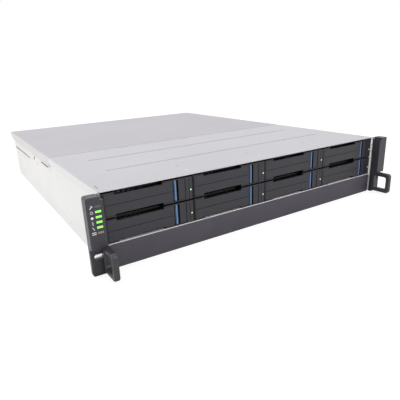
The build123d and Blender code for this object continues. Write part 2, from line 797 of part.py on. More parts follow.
save("left_ear_cap", left_ear_cap())
save("right_ear_cap", ear_cap())
save("ear_brackets", *both_sides(ear_bracket()))
save("front_handles", *both_sides(front_handle()))
save("indicator_board", indicator_board())
save("light_guides", *light_guides())
save("mute_button", mute_button())


# Rear modules. Each is drawn with x = 0 at its middle and z = 0 at its bottom.

def module_case(width, height):
    """Closed sheet box with the plug that meets the backplane at its inner end."""
    half = width / 2
    shell = along_y(span(-half, half, 0, height), module_front, module_length)
    shell -= along_y(span(-half + module_sheet, half - module_sheet, module_sheet,
                          height - module_sheet),
                     module_front + module_sheet, module_length - 2 * module_sheet)
    plug = Pos(0, height / 2) * RectangleRounded(module_plug_width, module_plug_height,
                                                 socket_corner)
    return shell + along_y(plug, module_front - module_plug, module_plug + module_sheet / 2)


def lugs(x, z, height):
    """Two lugs on a module face that hold a lever pin at x, above and below the lever."""
    plan = Pos(x, rear_pivot_y) * Circle(rear_knuckle)
    plan += span(x - rear_knuckle, x + rear_knuckle, wall_depth - module_sheet / 2, rear_pivot_y)
    plan -= Pos(x, rear_pivot_y) * Circle(rear_pin + hinge_fit)
    low = along_z(plan, z - swing_gap - rear_lug, rear_lug)
    return low + along_z(plan, z + height + swing_gap, rear_lug)


def rear_lever(x, z, length, height, towards):
    """Module lever on its lugs, reaching towards -X or +X from the pin at x."""
    lever = lever_bar(length, height, rear_lever_thickness, rear_knuckle, rear_pin + hinge_fit)
    end = length - rear_knuckle
    tip = span(end - tip_length, end, -rear_knuckle - tip_rise, -rear_knuckle + 1)
    lever += along_z(fillet(tip.vertices().sort_by(Axis.Y)[:2], tip_round), 0, height)
    turned = Rot(0, 0, 180) * lever
    if towards > 0:
        turned = mirror(turned, about=Plane.YZ)
    return Pos(x, rear_pivot_y, z) * turned


def lever_pin(x, z, height):
    """Pin through both lugs and the lever."""
    reach = rear_lug + swing_gap
    return along_z(Pos(x, rear_pivot_y) * Circle(rear_pin), z - reach, height + 2 * reach)


def socket_cup(x, z, width, height, depth):
    """A socket behind the face: its outer block and the cavity to cut from it."""
    start = wall_depth - depth
    outer = Rectangle(width + 2 * cup_wall, height + 2 * cup_wall)
    block = along_y(Pos(x, z) * outer, start - cup_wall, depth + cup_wall)
    cavity = along_y(Pos(x, z) * Rectangle(width, height), start, depth + 1)
    return block, cavity


def power_case():
    """Power module: case, mains inlet with its pins, fan shroud, grille and motor mount."""
    case = module_case(power_width, power_height)
    block, cavity = socket_cup(inlet_x, inlet_z, inlet_width, inlet_height, inlet_depth)
    case = case + block - cavity
    for dx, dz in inlet_pins:
        blade = Pos(inlet_x + dx, inlet_z + dz) * Rectangle(pin_width, pin_height)
        case += along_y(blade, wall_depth - inlet_depth - cup_wall / 2,
                        inlet_depth - pin_short + cup_wall / 2)
    centre = Pos(fan_x, fan_z)
    shroud_depth = fan_hub_depth + shroud_reach
    shroud_front = wall_depth - shroud_depth
    shroud = along_y(centre * (Circle(fan_bore + module_sheet) - Circle(fan_bore)), shroud_front,
                     shroud_depth - module_sheet / 2)
    case = case - along_y(centre * Circle(fan_bore), wall_depth - 2 * module_sheet, 20) + shroud
    spokes = Rectangle(2 * fan_bore + 1, grille_bar) + Rectangle(grille_bar, 2 * fan_bore + 1)
    grille = Circle(grille_hub) + Rot(0, 0, 45) * spokes
    for ring in range(1, grille_rings + 1):
        radius = grille_hub + ring * (fan_bore - grille_hub) / (grille_rings + 1)
        grille += Circle(radius + grille_bar / 2) - Circle(radius - grille_bar / 2)
    case += along_y(centre * grille, wall_depth - module_sheet, module_sheet)
    case += along_y(centre * (Circle(motor_radius) + spokes), shroud_front, mount_sheet)
    shaft_end = wall_depth - fan_setback - mount_sheet
    case += along_y(centre * Circle(fan_shaft), shroud_front + 1, shaft_end - shroud_front - 1)
    return case + lugs(power_lever_x, power_lever_z, power_lever_height)


def fan_rotor():
    """Fan rotor: a hub cup on the motor shaft, with twisted blades lofted from root to tip."""
    rear = wall_depth - fan_setback
    front = rear - fan_hub_depth
    hub = along_y(Circle(fan_hub), front, fan_hub_depth)
    hub = fillet(hub.edges().sort_by(Axis.Y)[-1], fan_hub_round)
    rotor = hub - along_y(Circle(fan_shaft + hinge_fit), front - 1, fan_hub_depth - 1)
    for blade in range(fan_blades):
        sections = []
        for radius, chord, pitch in ((fan_hub - fan_hub_round, root_chord, root_pitch),
                                     (fan_radius, tip_chord, tip_pitch)):
            plane = Plane(origin=(0, front + fan_hub_depth / 2, radius), x_dir=(1, 0, 0),
                          z_dir=(0, 0, 1))
            section = Rot(0, 0, pitch) * RectangleRounded(chord, blade_sheet, blade_sheet / 3)
            sections.append(plane * section)
        rotor += Rot(0, 360 / fan_blades * blade, 0) * loft(sections)
    rotor &= along_y(Circle(fan_radius), front - fan_hub_depth, 3 * fan_hub_depth)
    return Pos(fan_x, 0, fan_z) * rotor


def controller_case():
    """Controller module: case with a row of sockets, an air grid and two pairs of lever lugs."""
    case = module_case(controller_width, controller_height)
    for x, width, height, depth in port_places:
        block, cavity = socket_cup(x, port_z, width, height, depth)
        case = case + block - cavity
    grid = repeat(GridLocations(grid_pitch, grid_pitch, grid_columns, grid_rows), Circle(grid_hole))
    case -= along_y(Pos(grid_x, port_z) * grid, wall_depth - module_sheet - 1, module_sheet + 2)
    for side in (-1, 1):
        case += lugs(side * controller_lever_x, controller_lever_z, controller_lever_height)
    return case


power_module = [power_case(), lever_pin(power_lever_x, power_lever_z, power_lever_height)]
rotor = fan_rotor()
power_lever = rear_lever(power_lever_x, power_lever_z, power_lever_length, power_lever_height, -1)
for name, side in (("left", -1), ("right", 1)):
    bay = Pos(side * power_x, 0, power_bottom)
    save(f"{name}_power_module", *[bay * solid for solid in power_module])
    save(f"{name}_fan_rotor", bay * rotor)
    save(f"{name}_power_lever", bay * power_lever)

controller = controller_case()
for name, bottom in zip(("lower", "upper"), controller_bottoms):
    bay = Pos(0, 0, bottom)
    pins = [lever_pin(side * controller_lever_x, controller_lever_z, controller_lever_height)
            for side in (-1, 1)]
    save(f"{name}_controller", *[bay * solid for solid in [controller] + pins])
    for hand, side in (("left", -1), ("right", 1)):
        lever = rear_lever(side * controller_lever_x, controller_lever_z, controller_lever_length,
                           controller_lever_height, -side)
        save(f"{name}_{hand}_controller_lever", bay * lever)
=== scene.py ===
import json
import logging
import math
from dataclasses import dataclass
from enum import Enum

import bmesh
import bpy
from mathutils import Matrix, Vector


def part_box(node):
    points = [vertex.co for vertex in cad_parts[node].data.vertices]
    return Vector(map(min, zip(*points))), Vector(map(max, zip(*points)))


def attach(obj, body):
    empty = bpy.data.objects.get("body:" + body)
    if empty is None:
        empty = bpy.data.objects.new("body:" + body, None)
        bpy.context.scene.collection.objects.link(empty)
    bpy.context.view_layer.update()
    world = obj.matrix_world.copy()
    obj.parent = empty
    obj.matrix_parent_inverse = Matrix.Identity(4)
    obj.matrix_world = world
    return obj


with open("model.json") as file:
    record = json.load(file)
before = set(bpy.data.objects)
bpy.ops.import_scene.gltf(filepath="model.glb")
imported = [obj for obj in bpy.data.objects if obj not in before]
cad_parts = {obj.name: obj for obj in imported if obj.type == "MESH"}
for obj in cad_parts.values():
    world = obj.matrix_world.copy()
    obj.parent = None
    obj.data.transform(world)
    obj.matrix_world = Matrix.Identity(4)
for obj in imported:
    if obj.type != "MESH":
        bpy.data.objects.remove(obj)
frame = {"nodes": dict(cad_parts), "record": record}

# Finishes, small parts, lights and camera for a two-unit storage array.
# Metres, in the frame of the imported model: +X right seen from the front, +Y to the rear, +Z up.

LOG = logging.getLogger("storage_array")
MM = 0.001
WHITE = (1.0, 1.0, 1.0, 1.0)
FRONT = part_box("chassis_tub")[0][1]
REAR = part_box("chassis_tub")[1][1]
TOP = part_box("front_cover")[1][2]
WALL_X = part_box("chassis_tub")[1][0]

NOISE_MIDDLE = (0.3, 0.7)    # noise values between which a tone or a roughness runs
MIX_COLOURS = (6, 7)         # a Mix node's colour sockets, whose names aren't unique
MIX_RESULT = 2
CORNER_STEPS = 5
COLLAR_CORNER = 0.6 * MM
COLLAR_PROFILE = ((0.0, 0.0), (1.0, 0.0), (1.0, 0.6), (0.7, 1.0), (0.0, 1.0))

Socket = bpy.types.NodeSocket
Span = tuple[float, float]
Colour = tuple[float, float, float]
Point = tuple[float, float, float]
Outline = list[Span]


class Side(Enum):
    """The two sides of the chassis, seen from the front."""

    LEFT = -1
    RIGHT = 1


class Axis(Enum):
    """Direction in which a small part stands out from its surface."""

    LEFT = (-1.0, 0.0, 0.0)
    RIGHT = (1.0, 0.0, 0.0)
    FORWARD = (0.0, -1.0, 0.0)
    REAR = (0.0, 1.0, 0.0)
    UP = (0.0, 0.0, 1.0)


class Grain(Enum):
    """Direction in which a sheet was rolled, as stretch factors for its grain."""

    ALONG_X = (40.0, 900.0, 900.0)
    ALONG_Y = (900.0, 40.0, 900.0)


# Finishes

def tinted(colour: Colour, factor: float) -> Colour:
    """The colour made lighter or darker by a factor, no brighter than white."""
    return tuple(min(1.0, part * factor) for part in colour)


class Graph:
    """A new material with one Principled shader and short calls that add and join nodes."""

    def __init__(self, name: str) -> None:
        """Makes the material.

        Args:
            name: the material's name.
        """
        self.material = bpy.data.materials.new(name)
        self.material.use_nodes = True
        self.nodes = self.material.node_tree.nodes
        self.links = self.material.node_tree.links
        self.shader = self.nodes["Principled BSDF"]
        self.coordinates = self.nodes.new("ShaderNodeTexCoord").outputs["Object"]

    def join(self, source: Socket, node: bpy.types.Node, name: str) -> None:
        """Links an output to a node's input by the input's name."""
        self.links.new(source, node.inputs[name])

    def stretched(self, scale: Point, turn: float = 0.0) -> Socket:
        """Object coordinates scaled on each axis, so that a pattern can run one way."""
        mapping = self.nodes.new("ShaderNodeMapping")
        mapping.inputs["Scale"].default_value = scale
        mapping.inputs["Rotation"].default_value = (0.0, 0.0, turn)
        self.join(self.coordinates, mapping, "Vector")
        return mapping.outputs["Vector"]

    def noise(self, scale: float, detail: float = 2.0, vector: Socket | None = None) -> Socket:
        """Noise over the object.

        Args:
            scale: cells per metre.
            detail: octaves.
            vector: coordinates to read, or None for the object's own.

        Returns:
            The noise value, from 0 to 1.
        """
        texture = self.nodes.new("ShaderNodeTexNoise")
        texture.inputs["Scale"].default_value = scale
        texture.inputs["Detail"].default_value = detail
        self.join(vector or self.coordinates, texture, "Vector")
        return texture.outputs["Fac"]

    def along(self, axis: str) -> Socket:
        """One of the object coordinates, by its letter."""
        split = self.nodes.new("ShaderNodeSeparateXYZ")
        self.join(self.coordinates, split, "Vector")
        return split.outputs[axis]

    def ranged(self, value: Socket, source: Span, target: Span = (0.0, 1.0)) -> Socket:
        """Maps one range of a value to another and holds it at their ends.

        Args:
            value: the value to map.
            source: the range that it is read in.
            target: the range that it is given.

        Returns:
            The mapped value.
        """
        node = self.nodes.new("ShaderNodeMapRange")
        for name, number in zip(("From Min", "From Max", "To Min", "To Max"), (*source, *target)):
            node.inputs[name].default_value = number
        self.join(value, node, "Value")
        return node.outputs["Result"]

    def shade(self, value: Socket, colour: Colour, dark: float, light: float) -> Socket:
        """Colour whose tone runs between two factors with a noise value."""
        ramp = self.nodes.new("ShaderNodeValToRGB")
        for stop, place, factor in zip(ramp.color_ramp.elements, NOISE_MIDDLE, (dark, light)):
            stop.position = place
            stop.color = (*tinted(colour, factor), 1.0)
        self.join(value, ramp, "Fac")
        return ramp.outputs["Color"]

    def mixed(self, share: Socket, first: Socket | Colour, second: Socket | Colour) -> Socket:
        """Goes from the first colour to the second as a share goes from 0 to 1."""
        mix = self.nodes.new("ShaderNodeMix")
        mix.data_type = "RGBA"
        self.links.new(share, mix.inputs[0])
        for index, colour in zip(MIX_COLOURS, (first, second)):
            if isinstance(colour, Socket):
                self.links.new(colour, mix.inputs[index])
            else:
                mix.inputs[index].default_value = (*colour, 1.0)
        return mix.outputs[MIX_RESULT]

    def painted_depth_shade(self, colour: Socket, reach: Span, floor: float) -> Socket:
        """Paints shade: darkens a colour behind the chassis front plane, where little light gets
        in.

        Args:
            colour: the colour to darken.
            reach: distances behind the front plane where it starts and is darkest, in metres.
            floor: share of the colour that is left there.

        Returns:
            The darkened colour.
        """
        share = self.ranged(self.along("Y"), (FRONT + reach[0], FRONT + reach[1]), (1.0, floor))
        mix = self.nodes.new("ShaderNodeVectorMath")
        mix.operation = "SCALE"
        self.links.new(colour, mix.inputs[0])
        self.join(share, mix, "Scale")
        return mix.outputs[0]

    def sided(self, colour: Socket, lit_lip: Colour, reach: Span) -> Socket:
        """Paints light on the side lips of a cover, past the chassis walls, by changing them to a
        lighter colour.

        Args:
            colour: the colour of the top.
            lit_lip: the colour of the lips.
            reach: distances outside a wall where the change starts and ends, in metres.

        Returns:
            The colour that changes between them.
        """
        width = self.nodes.new("ShaderNodeMath")
        width.operation = "ABSOLUTE"
        self.links.new(self.along("X"), width.inputs[0])
        share = self.ranged(width.outputs[0], (WALL_X + reach[0], WALL_X + reach[1]))
        return self.mixed(share, colour, lit_lip)

    def bump(self, height: Socket, strength: float, distance: float) -> None:
        """Adds relief to the shader's normal; distance is in metres."""
        node = self.nodes.new("ShaderNodeBump")
        node.inputs["Strength"].default_value = strength
        node.inputs["Distance"].default_value = distance
        self.join(height, node, "Height")
        self.join(node.outputs["Normal"], self.shader, "Normal")

    def surface(self, tone: Socket, grain: Socket, roughness: float, swing: float,
                relief: Span) -> bpy.types.Material:
        """Joins a finish's colour, roughness and relief to the shader.

        Args:
            tone: the colour.
            grain: the noise that roughness and relief follow.
            roughness: the middle roughness.
            swing: how far it goes to either side.
            relief: strength of the relief and its depth in metres.

        Returns:
            The material.
        """
        self.join(tone, self.shader, "Base Color")
        self.join(self.ranged(grain, NOISE_MIDDLE, (roughness - swing, roughness + swing)),
                  self.shader, "Roughness")
        self.bump(grain, *relief)
        return self.material

    def set(self, **values: float | tuple) -> None:
        """Sets the shader's own sockets, with underscores for the spaces in their names."""
        for name, value in values.items():
            self.shader.inputs[name.replace("_", " ")].default_value = value


@dataclass(frozen=True)
class SheetSteel:
    """Zinc-coated sheet steel with a rolled grain and slow cloudy changes of tone."""

    name: str
    colour: Colour
    grain: Grain = Grain.ALONG_X
    roughness: float = 0.42
    metallic: float = 0.35
    depth_shade_floor: float = 1.0
    lit_lip: Colour | None = None
    depth_shade_reach: Span = (1.2 * MM, 12.0 * MM)
    lit_lip_reach: Span = (0.2 * MM, 1.1 * MM)

    def material(self) -> bpy.types.Material:
        """Builds the finish."""
        graph = Graph(self.name)
        rolled = graph.noise(1.0, 3.0, graph.stretched(self.grain.value))
        tone = graph.shade(graph.noise(9.0), self.colour, 0.975, 1.025)
        # painted shade: the sheet goes darker behind the chassis front plane
        if self.depth_shade_floor < 1.0:
            tone = graph.painted_depth_shade(tone, self.depth_shade_reach, self.depth_shade_floor)
        # painted light: the side lips get a lighter colour, as lit from the side
        if self.lit_lip is not None:
            tone = graph.sided(tone, self.lit_lip, self.lit_lip_reach)
        graph.set(Metallic=self.metallic)
        return graph.surface(tone, rolled, self.roughness, 0.05, (0.08, 0.02 * MM))


@dataclass(frozen=True)
class MouldedPlastic:
    """Moulded plastic with a fine spark-eroded texture."""

    name: str
    colour: Colour
    roughness: float = 0.42
    texture: float = 1600.0
    relief: float = 0.15
    depth_shade_floor: float = 1.0
    depth_shade_reach: Span = (1.2 * MM, 7.0 * MM)

    def material(self) -> bpy.types.Material:
        """Builds the finish."""
        graph = Graph(self.name)
        speckle = graph.noise(self.texture)
        tone = graph.shade(graph.noise(30.0, 1.0), self.colour, 0.93, 1.07)
        # painted shade: the plastic goes darker behind the chassis front plane
        if self.depth_shade_floor < 1.0:
            tone = graph.painted_depth_shade(tone, self.depth_shade_reach, self.depth_shade_floor)
        return graph.surface(tone, speckle, self.roughness, 0.06, (self.relief, 0.03 * MM))


@dataclass(frozen=True)
class LatchPlastic:
    """Moulded plastic with a painted highlight: paler on the ridge of a latch, where it catches
    the light.
    """

    name: str
    colour: Colour
    ridge: Colour
    ridge_highlight_reach: Span = (0.7 * MM, 1.5 * MM)

    def material(self) -> bpy.types.Material:
        """Builds the finish: the painted highlight colour near the front plane, the plain colour
        behind it.
        """
        graph = Graph(self.name)
        near, far = self.ridge_highlight_reach
        share = graph.ranged(graph.along("Y"), (FRONT + near, FRONT + far))
        flow = graph.noise(60.0, 1.0)
        tone = graph.mixed(share, graph.shade(flow, self.ridge, 0.94, 1.06),
                           graph.shade(flow, self.colour, 0.94, 1.06))
        return graph.surface(tone, graph.noise(2400.0), 0.35, 0.05, (0.08, 0.03 * MM))


@dataclass(frozen=True)
class PowderCoat:
    """Powder-coated metal: an even satin coat with a slight orange-peel surface."""

    name: str
    colour: Colour
    roughness: float = 0.35

    def material(self) -> bpy.types.Material:
        """Builds the finish."""
        graph = Graph(self.name)
        peel = graph.noise(700.0, 1.0)
        tone = graph.shade(peel, self.colour, 0.92, 1.08)
        return graph.surface(tone, peel, self.roughness, 0.04, (0.12, 0.04 * MM))


@dataclass(frozen=True)
class CastMetal:
    """Bare cast or turned metal with a fine even grain."""

    name: str
    colour: Colour
    roughness: float = 0.38
    texture: float = 900.0

    def material(self) -> bpy.types.Material:
        """Builds the finish."""
        graph = Graph(self.name)
        grain = graph.noise(self.texture, 4.0)
        tone = graph.shade(grain, self.colour, 0.9, 1.06)
        graph.set(Metallic=0.9)
        return graph.surface(tone, grain, self.roughness, 0.08, (0.2, 0.03 * MM))


@dataclass(frozen=True)
class CircuitBoard:
    """Green board: solder mask with the faint relief of its copper tracks."""

    name: str
    colour: Colour = (0.02, 0.14, 0.06)

    def material(self) -> bpy.types.Material:
        """Builds the finish."""
        graph = Graph(self.name)
        tracks = graph.nodes.new("ShaderNodeTexBrick")
        tracks.inputs["Scale"].default_value = 160.0
        tracks.inputs["Mortar Size"].default_value = 0.05
        for name, factor in (("Color1", 1.0), ("Color2", 1.15), ("Mortar", 1.9)):
            tracks.inputs[name].default_value = (*tinted(self.colour, factor), 1.0)
        graph.join(graph.stretched((1.0, 1.0, 1.0), math.radians(45)), tracks, "Vector")
        graph.join(tracks.outputs["Color"], graph.shader, "Base Color")
        graph.bump(tracks.outputs["Fac"], 0.2, 0.03 * MM)
        graph.set(Roughness=0.35)
        return graph.material


@dataclass(frozen=True)
class StatusLight:
    """Clear light guide with a slightly cloudy tone, which glows where it is lit."""

    name: str
    lit: Colour
    unlit: Colour
    lit_below: float
    strength: float = 0.7

    def material(self) -> bpy.types.Material:
        """Builds the finish: lit below a height in metres, plain above it."""
        graph = Graph(self.name)
        low = graph.nodes.new("ShaderNodeMath")
        low.operation = "LESS_THAN"
        low.inputs[1].default_value = self.lit_below
        graph.links.new(graph.along("Z"), low.inputs[0])
        cloud = graph.noise(500.0, 1.0)
        for socket, off in (("Base Color", self.unlit), ("Emission Color", (0.0, 0.0, 0.0))):
            glow = graph.shade(cloud, self.lit, 0.85, 1.0)
            graph.join(graph.mixed(low.outputs[0], off, glow), graph.shader, socket)
        graph.set(Roughness=0.25, Emission_Strength=self.strength)
        return graph.material


# The lip colours of both covers are painted light on their side lips.
COVER = SheetSteel("front_cover_steel", (0.535, 0.530, 0.562), metallic=0.2,
                   lit_lip=(0.76, 0.755, 0.75))
REAR_COVER = SheetSteel("rear_cover_steel", (0.475, 0.452, 0.490), metallic=0.2,
                        lit_lip=(0.70, 0.675, 0.665))
WALL = SheetSteel("wall_steel", (0.80, 0.795, 0.785), Grain.ALONG_Y, metallic=0.15)
INNER_SHEET = SheetSteel("inner_sheet", (0.70, 0.71, 0.72), Grain.ALONG_Y, 0.34, 0.6)
# The cage sheet's share paints shade on it behind the chassis front plane.
CAGE_SHEET = SheetSteel("cage_sheet", (0.86, 0.85, 0.87), Grain.ALONG_X, 0.4, 0.15, 0.45)
MODULE_SHEET = SheetSteel("module_sheet", (0.62, 0.63, 0.65), Grain.ALONG_Y, 0.36, 0.6)
# The tray plastic goes almost black behind the front plane: partly its own black unpainted
# inside, partly painted shade in its recesses.
TRAY = MouldedPlastic("tray_plastic", (0.024, 0.022, 0.029), depth_shade_floor=0.04)
LEVER = MouldedPlastic("lever_plastic", (0.0245, 0.0225, 0.030))
PANEL = MouldedPlastic("panel_plastic", (0.060, 0.054, 0.070), 0.48)
EAR = MouldedPlastic("ear_plastic", (0.034, 0.031, 0.040), 0.36)
# The paler second colour of the latch is a painted highlight on its ridge.
LATCH = LatchPlastic("latch_blue", (0.045, 0.085, 0.175), (0.15, 0.28, 0.50))
BUTTON = MouldedPlastic("button_plastic", (0.26, 0.19, 0.17))
BLACK = MouldedPlastic("black_plastic", (0.018, 0.018, 0.020), 0.45)
# Dark sheet that paints the shade inside slits and behind slots.
SLIT_SHADE = MouldedPlastic("slit_shadow", (0.05, 0.05, 0.053), 0.8)
MODULE_LEVER = MouldedPlastic("module_lever_plastic", (0.03, 0.03, 0.033), 0.4)
HANDLE = PowderCoat("handle_coat", (0.038, 0.035, 0.042))
DRIVE = CastMetal("drive_casting", (0.60, 0.61, 0.63))
SCREW = CastMetal("screw_steel", (0.72, 0.72, 0.73), 0.28, 2000.0)
CONTACT = CastMetal("contact_gold", (0.80, 0.58, 0.22), 0.25, 2500.0)
BOARD = CircuitBoard("board_green")
MARK = MouldedPlastic("mark_white", (0.86, 0.86, 0.86), 0.5, 3000.0, 0.02)
LIGHTS = StatusLight("ear_lights", (0.27, 0.80, 0.12), (0.10, 0.10, 0.11), 76.0 * MM)
TRAY_LIGHT = StatusLight("tray_light", (0.46, 0.74, 0.38), (0.10, 0.10, 0.11), 1.0)

NODE_FINISHES = {
    "chassis_tub": WALL, "module_frame": INNER_SHEET, "front_cover": COVER,
    "rear_cover": REAR_COVER, "chassis_screws": SCREW, "drive_cage": CAGE_SHEET,
    "backplane": BOARD, "backplane_sockets": BLACK, "lower_panel": PANEL,
    "left_ear_cap": EAR, "right_ear_cap": EAR, "ear_brackets": WALL,
    "front_handles": HANDLE, "indicator_board": BOARD, "light_guides": LIGHTS,
    "mute_button": BUTTON, "drive_tray": TRAY, "hard_drive": DRIVE, "tray_lever": LEVER,
    "tray_latch": LATCH, "power_module": MODULE_SHEET, "fan_rotor": BLACK,
    "power_lever": MODULE_LEVER, "controller": MODULE_SHEET, "controller_lever": MODULE_LEVER,
}


class Workshop:
    """Builds each finish once and puts it on nodes and pieces."""

    def __init__(self) -> None:
        """Starts with no finish built."""
        self.built: dict[str, bpy.types.Material] = {}

    def material(self, finish: object) -> bpy.types.Material:
        """The finish's material, built when it is first asked for."""
        if finish.name not in self.built:
            self.built[finish.name] = finish.material()
        return self.built[finish.name]

    def dress_node(self, node: str) -> None:
        """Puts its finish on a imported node, found by the node's family name."""
        family = max((key for key in NODE_FINISHES if key in node), key=len)
        mesh = frame["nodes"][node].data
        material = self.material(NODE_FINISHES[family])
        for slot in range(max(1, len(mesh.materials))):
            if slot < len(mesh.materials):
                mesh.materials[slot] = material
            else:
                mesh.materials.append(material)
        LOG.info("node %s wears %s", node, material.name)

    def piece(self, name: str, mesh: bpy.types.Mesh, finish: object, body: str) -> None:
        """Links a finished mesh as a piece of a body.

        Args:
            name: the piece's name.
            mesh: its mesh, with its place in its points.
            finish: the finish that it wears.
            body: the body that it rides on.
        """
        piece = bpy.data.objects.new(name, mesh)
        bpy.context.scene.collection.objects.link(piece)
        mesh.materials.append(self.material(finish))
        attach(piece, body)
        LOG.info("piece %s rides on %s", name, body)

    def repeat(self, name: str, part: "Part", points: list[Vector], axis: Axis,
               finish: object, body: str) -> None:
        """Makes a piece of a body from a part that is repeated by Geometry Nodes.

        Args:
            name: the piece's name.
            part: what is repeated.
            points: the middle of each part's foot.
            axis: the way that the parts face.
            finish: the finish that they wear.
            body: the body that they ride on.
        """
        self.piece(name, part.mesh(name, points, axis, self.material(finish)), finish, body)


# Meshes that repeat, made by Geometry Nodes

class Rule:
    """A Geometry Nodes tree with named inputs that is run on points and made a plain mesh."""

    def __init__(self, name: str) -> None:
        """Starts the tree with its points input and mesh output.

        Args:
            name: the tree's name.
        """
        self.tree = bpy.data.node_groups.new(name, "GeometryNodeTree")
        sockets = self.tree.interface
        sockets.new_socket("Points", in_out="INPUT", socket_type="NodeSocketGeometry")
        sockets.new_socket("Mesh", in_out="OUTPUT", socket_type="NodeSocketGeometry")
        self.entry = self.tree.nodes.new("NodeGroupInput")
        self.values: dict[str, object] = {}

    def size(self, name: str, value: object, kind: str = "NodeSocketFloat") -> Socket:
        """Adds a named input and keeps the value that the modifier gets.

        Args:
            name: the input's name.
            value: its value.
            kind: its socket type.

        Returns:
            The socket that carries the input into the tree.
        """
        item = self.tree.interface.new_socket(name, in_out="INPUT", socket_type=kind)
        self.values[item.identifier] = value
        return self.entry.outputs[name]

    def node(self, kind: str, options: dict[str, object] | None = None,
             **inputs: object) -> bpy.types.Node:
        """Adds a node, sets its options and joins or sets its inputs.

        Args:
            kind: the node's type.
            options: the node's own properties.
            inputs: sockets or values, with underscores for the spaces in the names.

        Returns:
            The node.
        """
        node = self.tree.nodes.new(kind)
        for key, value in (options or {}).items():
            setattr(node, key, value)
        for key, value in inputs.items():
            socket = node.inputs[key.replace("_", " ")]
            if isinstance(value, Socket):
                self.tree.links.new(value, socket)
            else:
                socket.default_value = value
        return node

    def run(self, name: str, part: Socket, points: list[Vector], axis: Axis,
            material: bpy.types.Material) -> bpy.types.Mesh:
        """Puts the part at every point, turned to the axis, and makes the result a mesh.

        Args:
            name: the mesh's name.
            part: the geometry of one part, standing on +Z.
            points: where the parts go.
            axis: the way that they face.
            material: what they wear.

        Returns:
            The mesh.
        """
        vector = self.size("Facing", axis.value, "NodeSocketVector")
        turn = self.node("FunctionNodeAlignRotationToVector", {"axis": "Z"}, Vector=vector)
        copies = self.node("GeometryNodeInstanceOnPoints", Points=self.entry.outputs["Points"],
                           Instance=part, Rotation=turn.outputs["Rotation"])
        real = self.node("GeometryNodeRealizeInstances", Geometry=copies.outputs["Instances"])
        worn = self.node("GeometryNodeSetMaterial", Geometry=real.outputs["Geometry"],
                         Material=material)
        end = self.tree.nodes.new("NodeGroupOutput")
        self.tree.links.new(worn.outputs["Geometry"], end.inputs["Mesh"])
        cloud = bpy.data.meshes.new(f"{name}_points")
        cloud.from_pydata([tuple(point) for point in points], [], [])
        carrier = bpy.data.objects.new(f"{name}_carrier", cloud)
        bpy.context.scene.collection.objects.link(carrier)
        modifier = carrier.modifiers.new("rule", "NODES")
        modifier.node_group = self.tree
        for identifier, value in self.values.items():
            modifier[identifier] = value
        graph = bpy.context.evaluated_depsgraph_get()
        mesh = bpy.data.meshes.new_from_object(carrier.evaluated_get(graph))
        mesh.name = name
        carrier.modifiers.remove(modifier)
        bpy.data.objects.remove(carrier)
        return mesh


class Part:
    """A small part that Geometry Nodes repeat. Each kind adds the nodes of its own shape."""

    def shape(self, rule: Rule) -> Socket:
        """Adds the nodes of one part, standing on +Z, and returns its geometry."""
        raise NotImplementedError

    def mesh(self, name: str, points: list[Vector], axis: Axis,
             material: bpy.types.Material) -> bpy.types.Mesh:
        """Builds one mesh with the part at each point.

        Args:
            name: the mesh's name.
            points: the middle of each part's foot.
            axis: the way that the parts face.
            material: what they wear.

        Returns:
            The mesh.
        """
        rule = Rule(name)
        return rule.run(name, self.shape(rule), points, axis, material)


@dataclass(frozen=True)
class Heads(Part):
    """Domed screw heads with a cross cut in each, or plain rivet heads."""

    radius: float
    height: float
    crossed: bool = True
    segments: int = 20

    def shape(self, rule: Rule) -> Socket:
        """Adds the nodes of one head."""
        radius = rule.size("Radius", self.radius)
        flat = rule.size("Flattening", (1.0, 1.0, self.height / self.radius), "NodeSocketVector")
        ball = rule.node("GeometryNodeMeshUVSphere", Segments=self.segments,
                         Rings=self.segments // 2, Radius=radius)
        smooth = rule.node("GeometryNodeSetShadeSmooth", Geometry=ball.outputs["Mesh"])
        part = rule.node("GeometryNodeTransform", Geometry=smooth.outputs["Geometry"],
                         Scale=flat).outputs["Geometry"]
        if self.crossed:
            bar = rule.size("Cross Bar", (1.3 * self.radius, 0.3 * self.radius, self.height),
                            "NodeSocketVector")
            lift = rule.size("Cross Lift", (0.0, 0.0, 0.9 * self.height), "NodeSocketVector")
            cube = rule.node("GeometryNodeMeshCube", Size=bar)
            cut = rule.node("GeometryNodeMeshBoolean", {"operation": "DIFFERENCE"})
            rule.tree.links.new(part, cut.inputs[0])
            for turn in (0.0, math.pi / 2):
                moved = rule.node("GeometryNodeTransform", Geometry=cube.outputs["Mesh"],
                                  Translation=lift, Rotation=(0.0, 0.0, turn))
                rule.tree.links.new(moved.outputs["Geometry"], cut.inputs[1])
            part = cut.outputs["Mesh"]
        return part


@dataclass(frozen=True)
class Bars(Part):
    """Equal rectangular bars with their top edges taken off, such as contacts and grip ribs."""

    size: Point
    taper: float = 0.7

    def shape(self, rule: Rule) -> Socket:
        """Adds the nodes of one bar."""
        size = rule.size("Size", self.size, "NodeSocketVector")
        taper = rule.size("Top Share", self.taper)
        cube = rule.node("GeometryNodeMeshCube", Size=size)
        place = rule.node("GeometryNodeInputPosition")
        split = rule.node("ShaderNodeSeparateXYZ", Vector=place.outputs["Position"])
        upper = rule.node("FunctionNodeCompare", {"operation": "GREATER_THAN"},
                          A=split.outputs["Z"], B=0.0)
        part = rule.node("GeometryNodeScaleElements", Geometry=cube.outputs["Mesh"],
                         Selection=upper.outputs["Result"], Scale=taper)
        return part.outputs["Geometry"]


# Meshes made point by point

